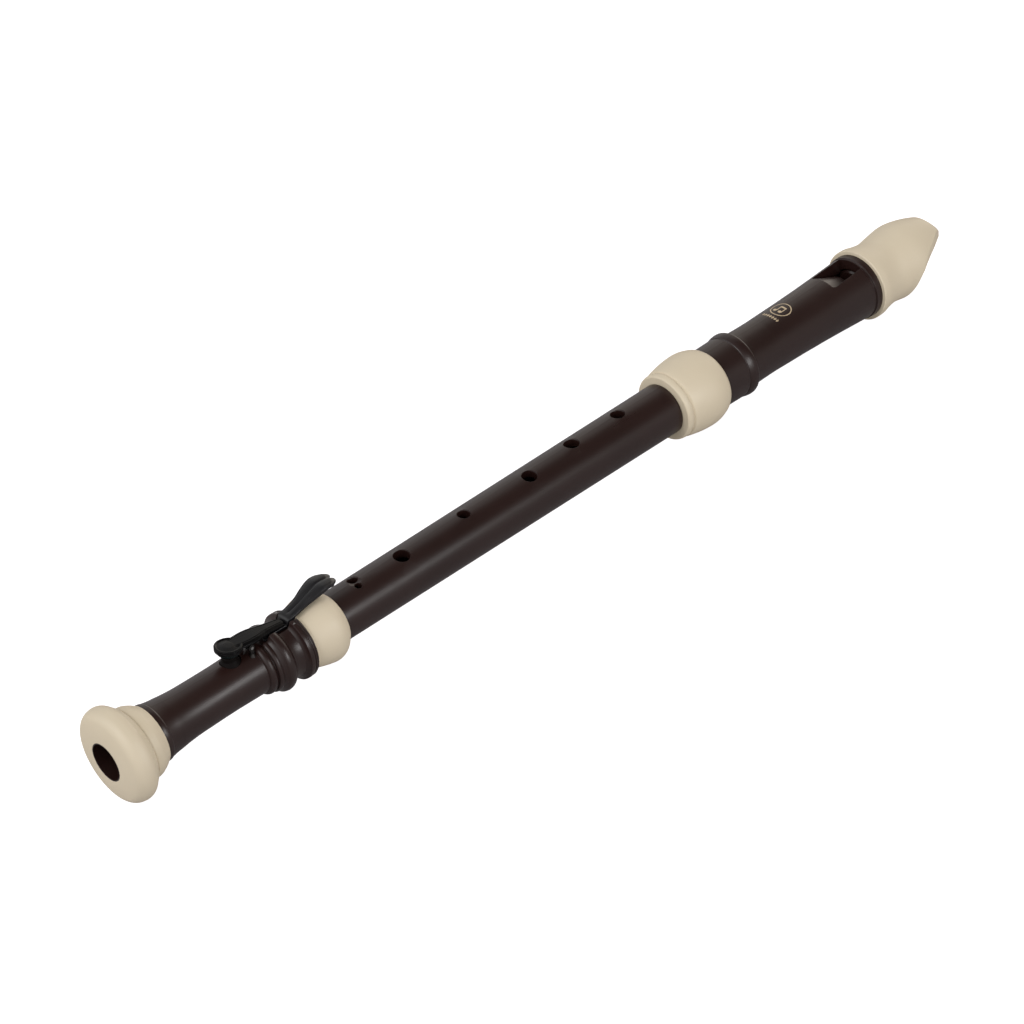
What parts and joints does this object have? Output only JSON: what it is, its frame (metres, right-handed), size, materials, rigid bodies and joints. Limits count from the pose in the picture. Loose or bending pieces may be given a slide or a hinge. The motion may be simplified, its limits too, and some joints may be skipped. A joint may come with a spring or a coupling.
{
  "type": "tenor recorder",
  "caption": "Three-joint tenor recorder in dark brown plastic with ivory beak, ferrules and bell ring, a double lower finger hole and a sprung two-lever key on the foot.",
  "frame": {"origin": "centre of the bell's end face, on the bore axis", "axes": "+X along the bore from the bell to the beak, +Z on the finger-hole side, +Y towards the player's right"},
  "size_m": [0.64, 0.0536, 0.0543],
  "materials": {
    "brown_plastic": "satin moulded ABS, dark brown",
    "ivory_plastic": "satin moulded ABS, ivory",
    "black_plastic": "fine matt moulded plastic, black",
    "pad": "soft dark skin pad",
    "steel": "bright drawn wire and rod",
    "felt": "pressed felt",
    "rubber": "greased rubber ring"
  },
  "bodies": {
    "middle": {"middle_tube": "brown_plastic"},
    "upper_seal": {"upper_seal": "rubber"},
    "head": {"head_ring": "ivory_plastic", "head_body": "brown_plastic", "block": "brown_plastic", "beak": "ivory_plastic"},
    "lower_seal": {"lower_seal": "rubber"},
    "foot": {"foot_body": "brown_plastic", "foot_ring": "ivory_plastic", "bell_ring": "ivory_plastic", "tone_hole_seat": "brown_plastic", "pivot_posts": "steel", "pad_axle": "steel", "touch_axle": "steel", "pad_spring": "steel", "rest_felt": "felt"},
    "pad_key": {"pad_lever": "black_plastic", "key_pad": "pad", "link_felt": "felt"},
    "touch_key": {"touch_lever": "black_plastic"}
  },
  "joints": [
    {"name": "head_turn", "type": "hinge", "parent": "middle", "child": "upper_seal", "pos_m": [0.423, 0, 0], "axis": [1, 0, 0], "continuous": true},
    {"name": "head_slide", "type": "slide", "parent": "upper_seal", "child": "head", "axis": [1, 0, 0], "range_m": [0, 0.02]},
    {"name": "foot_turn", "type": "hinge", "parent": "middle", "child": "lower_seal", "pos_m": [0.1262, 0, 0], "axis": [1, 0, 0], "continuous": true},
    {"name": "foot_slide", "type": "slide", "parent": "lower_seal", "child": "foot", "axis": [-1, 0, 0], "range_m": [0, 0.02]},
    {"name": "touch_press", "type": "hinge", "parent": "foot", "child": "touch_key", "pos_m": [0.1205, 0, 0.0172], "axis": [0, 1, 0], "range_deg": [0, 5.8], "stiffness_Nm_per_rad": 0.05, "springref_deg": -17.19},
    {"name": "pad_close", "type": "hinge", "parent": "foot", "child": "pad_key", "pos_m": [0.0932, 0, 0.018], "axis": [0, 1, 0], "range_deg": [-7, 0], "stiffness_Nm_per_rad": 0.05, "springref_deg": 17.19}
  ],
  "couplings": [
    {"joint": "pad_close", "follows": "touch_press", "ratio": -1.2069}
  ]
}
